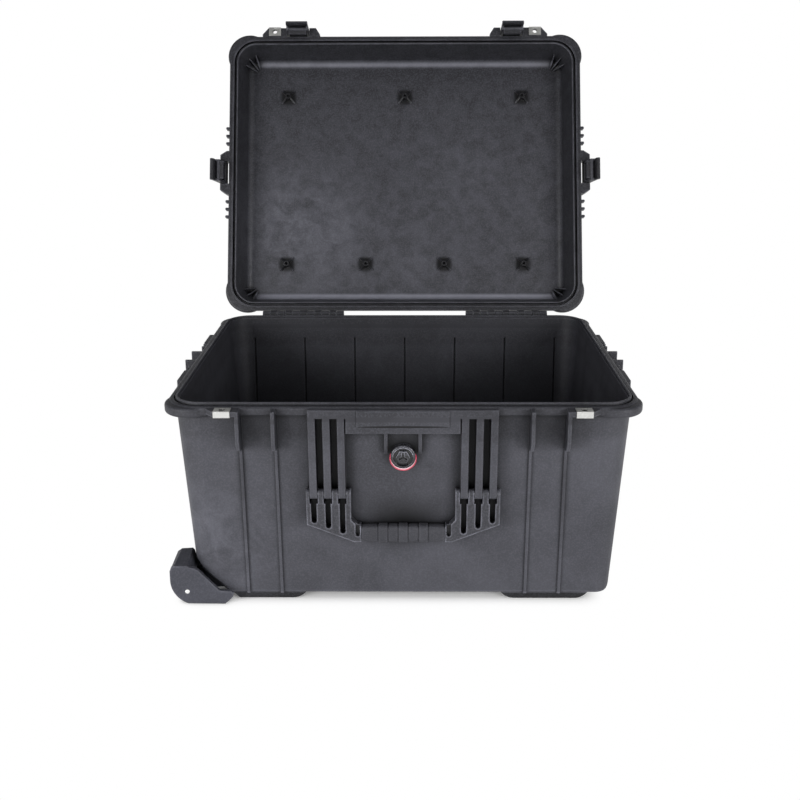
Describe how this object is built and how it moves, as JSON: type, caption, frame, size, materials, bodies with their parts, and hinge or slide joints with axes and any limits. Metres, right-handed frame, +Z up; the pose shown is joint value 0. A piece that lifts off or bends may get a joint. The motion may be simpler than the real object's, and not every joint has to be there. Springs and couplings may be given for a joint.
{
  "type": "wheeled hard case",
  "caption": "Open wheeled hard case: deep moulded body with a hinged lid, swing latches, fold-down handles, a purge valve, corner wheels and a pull handle that slides out.",
  "frame": {"origin": "centre of the body's plan, on the plane of the feet", "axes": "+X to the right along the front, +Y to the hinges at the rear, +Z up; the lid stands open at rest"},
  "size_m": [0.654, 0.7013, 0.7559],
  "materials": {
    "base_plastic": "fine moulded texture",
    "lid_plastic": "fine moulded texture",
    "latch_plastic": "satin",
    "handle_plastic": "satin",
    "bracket_plastic": "satin",
    "fitting_plastic": "satin",
    "grip_rubber": "matte",
    "seal_rubber": "matte",
    "tyre_rubber": "matte",
    "hub_plastic": "matte",
    "red_ring": "glossy",
    "tube_aluminium": "brushed",
    "steel": "brushed"
  },
  "bodies": {
    "base": {"base_shell": "base_plastic", "hinge_pins": "steel", "base_padlock_clips": "steel", "handle_pins": "steel", "valve_body": "fitting_plastic", "valve_ring": "red_ring", "valve_nut": "fitting_plastic", "front_wheel_bracket": "bracket_plastic", "rear_wheel_bracket": "bracket_plastic", "front_axle": "steel", "rear_axle": "steel", "bracket_screws": "steel", "pull_guide": "fitting_plastic", "guide_screws": "steel"},
    "lid": {"lid_shell": "lid_plastic", "lid_gasket": "seal_rubber", "lid_padlock_clips": "steel", "latch_pivot_pins": "steel"},
    "front_left_latch_lever": {"front_left_latch_lever": "latch_plastic", "front_left_latch_hook_pin": "steel"},
    "front_left_latch_hook": {"front_left_latch_hook": "latch_plastic"},
    "front_right_latch_lever": {"front_right_latch_lever": "latch_plastic", "front_right_latch_hook_pin": "steel"},
    "front_right_latch_hook": {"front_right_latch_hook": "latch_plastic"},
    "left_latch_lever": {"left_latch_lever": "latch_plastic", "left_latch_hook_pin": "steel"},
    "left_latch_hook": {"left_latch_hook": "latch_plastic"},
    "right_latch_lever": {"right_latch_lever": "latch_plastic", "right_latch_hook_pin": "steel"},
    "right_latch_hook": {"right_latch_hook": "latch_plastic"},
    "front_handle": {"front_handle": "handle_plastic", "front_grip": "grip_rubber"},
    "left_handle": {"left_handle": "handle_plastic", "left_grip": "grip_rubber"},
    "right_handle": {"right_handle": "handle_plastic", "right_grip": "grip_rubber"},
    "front_wheel": {"front_tyre": "tyre_rubber", "front_hub": "hub_plastic", "front_bearings": "steel"},
    "rear_wheel": {"rear_tyre": "tyre_rubber", "rear_hub": "hub_plastic", "rear_bearings": "steel"},
    "pull_handle": {"pull_tubes": "tube_aluminium", "pull_grip": "fitting_plastic"},
    "release_button": {"release_button": "fitting_plastic", "push_rods": "steel"}
  },
  "joints": [
    {"name": "lid_hinge", "type": "hinge", "parent": "base", "child": "lid", "pos_m": [0, 0.2435, 0.2783], "axis": [-1, 0, 0], "range_deg": [-109, 0]},
    {"name": "front_left_latch_swing", "type": "hinge", "parent": "lid", "child": "front_left_latch_lever", "pos_m": [-0.183, 0.41249, 0.73623], "axis": [-1, 0, 0], "range_deg": [0, 100]},
    {"name": "front_left_latch_hook_turn", "type": "hinge", "parent": "front_left_latch_lever", "child": "front_left_latch_hook", "pos_m": [-0.183, 0.38695, 0.74344], "axis": [-1, 0, 0], "range_deg": [0, 20]},
    {"name": "front_right_latch_swing", "type": "hinge", "parent": "lid", "child": "front_right_latch_lever", "pos_m": [0.183, 0.41249, 0.73623], "axis": [-1, 0, 0], "range_deg": [0, 100]},
    {"name": "front_right_latch_hook_turn", "type": "hinge", "parent": "front_right_latch_lever", "child": "front_right_latch_hook", "pos_m": [0.183, 0.38695, 0.74344], "axis": [-1, 0, 0], "range_deg": [0, 20]},
    {"name": "left_latch_swing", "type": "hinge", "parent": "lid", "child": "left_latch_lever", "pos_m": [-0.308, 0.33289, 0.50505], "axis": [0, -0.3256, -0.9455], "range_deg": [-18, 100]},
    {"name": "left_latch_hook_turn", "type": "hinge", "parent": "left_latch_lever", "child": "left_latch_hook", "pos_m": [-0.31476, 0.30862, 0.51341], "axis": [0, -0.3256, -0.9455], "range_deg": [0, 20]},
    {"name": "right_latch_swing", "type": "hinge", "parent": "lid", "child": "right_latch_lever", "pos_m": [0.308, 0.33289, 0.50505], "axis": [0, 0.3256, 0.9455], "range_deg": [-18, 100]},
    {"name": "right_latch_hook_turn", "type": "hinge", "parent": "right_latch_lever", "child": "right_latch_hook", "pos_m": [0.31476, 0.30862, 0.51341], "axis": [0, 0.3256, 0.9455], "range_deg": [0, 20]},
    {"name": "front_handle_fold", "type": "hinge", "parent": "base", "child": "front_handle", "pos_m": [0, -0.2286, 0.16], "axis": [-1, 0, 0], "range_deg": [0, 95]},
    {"name": "left_handle_fold", "type": "hinge", "parent": "base", "child": "left_handle", "pos_m": [-0.2921, 0, 0.16], "axis": [0, 1, 0], "range_deg": [0, 95]},
    {"name": "right_handle_fold", "type": "hinge", "parent": "base", "child": "right_handle", "pos_m": [0.2921, 0, 0.16], "axis": [0, -1, 0], "range_deg": [0, 95]},
    {"name": "front_wheel_spin", "type": "hinge", "parent": "base", "child": "front_wheel", "pos_m": [-0.2835, -0.2055, 0.02], "axis": [0, 1, 0], "continuous": true},
    {"name": "rear_wheel_spin", "type": "hinge", "parent": "base", "child": "rear_wheel", "pos_m": [-0.2835, 0.2055, 0.02], "axis": [0, 1, 0], "continuous": true},
    {"name": "pull_slide", "type": "slide", "parent": "base", "child": "pull_handle", "axis": [1, 0, 0], "range_m": [0, 0.36]},
    {"name": "release_press", "type": "slide", "parent": "pull_handle", "child": "release_button", "axis": [-1, 0, 0], "range_m": [0, 0.004], "stiffness_N_per_m": 400, "springref_m": -0.003}
  ]
}
